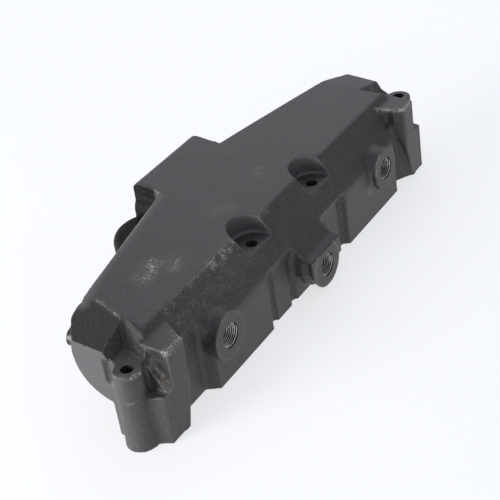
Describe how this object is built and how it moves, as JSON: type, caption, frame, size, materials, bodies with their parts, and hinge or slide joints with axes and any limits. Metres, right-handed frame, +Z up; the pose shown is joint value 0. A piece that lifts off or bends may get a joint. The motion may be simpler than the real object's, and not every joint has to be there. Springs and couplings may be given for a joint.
{
  "type": "hydraulic monoblock valve",
  "caption": "Cast iron hydraulic monoblock valve body with lengthwise spool, relief valve, load checks, threaded ports along the front and vertical bolt holes through to a machined base.",
  "frame": {"origin": "middle of the overall box, at the plane of the machined base", "axes": "+X along the body, +Y to the back, away from the port face, +Z up from the base"},
  "size_m": [0.4182, 0.1572, 0.0888],
  "materials": {
    "body_casting": "semi-matt black coating over as-cast iron, worn to bare metal along edges",
    "ground_steel": "ground and hardened",
    "spring_steel": "oiled spring wire",
    "plug_steel": "black oxide",
    "plated_steel": "clear zinc plate",
    "seal_rubber": "matt nitrile rubber"
  },
  "bodies": {
    "housing": {"valve_body": "body_casting", "spool_spring_left": "spring_steel", "spool_spring_right": "spring_steel", "end_plug": "plug_steel", "end_plug_seal": "seal_rubber", "relief_cartridge": "plated_steel", "relief_cartridge_seal": "seal_rubber", "relief_spring": "spring_steel", "relief_spring_seat": "ground_steel", "relief_adjuster": "plug_steel", "relief_locknut": "plated_steel", "relief_cap": "plated_steel", "load_check_spring_left": "spring_steel", "load_check_plug_left": "plug_steel", "load_check_seal_left": "seal_rubber", "load_check_spring_right": "spring_steel", "load_check_plug_right": "plug_steel", "load_check_seal_right": "seal_rubber", "gallery_plug": "plug_steel", "pilot_plugs": "plug_steel", "pilot_plug_washers": "plug_steel", "base_seals": "seal_rubber"},
    "spool": {"main_spool": "ground_steel", "spool_seat_left": "ground_steel", "spool_seat_right": "ground_steel"},
    "relief_poppet": {"relief_poppet": "ground_steel"},
    "check_poppet_left": {"load_check_poppet_left": "ground_steel"},
    "check_poppet_right": {"load_check_poppet_right": "ground_steel"}
  },
  "joints": [
    {"name": "spool_slide", "type": "slide", "parent": "housing", "child": "spool", "axis": [1, 0, 0], "range_m": [-0.008, 0.008], "stiffness_N_per_m": 6000, "deforming": ["spool_spring_left", "spool_spring_right"]},
    {"name": "relief_lift", "type": "slide", "parent": "housing", "child": "relief_poppet", "axis": [0, 1, 0], "range_m": [0, 0.002], "stiffness_N_per_m": 20000, "deforming": ["relief_spring"]},
    {"name": "left_check_lift", "type": "slide", "parent": "housing", "child": "check_poppet_left", "axis": [0, 1, 0], "range_m": [0, 0.005], "stiffness_N_per_m": 600, "deforming": ["load_check_spring_left"]},
    {"name": "right_check_lift", "type": "slide", "parent": "housing", "child": "check_poppet_right", "axis": [0, 1, 0], "range_m": [0, 0.005], "stiffness_N_per_m": 600, "deforming": ["load_check_spring_right"]}
  ]
}
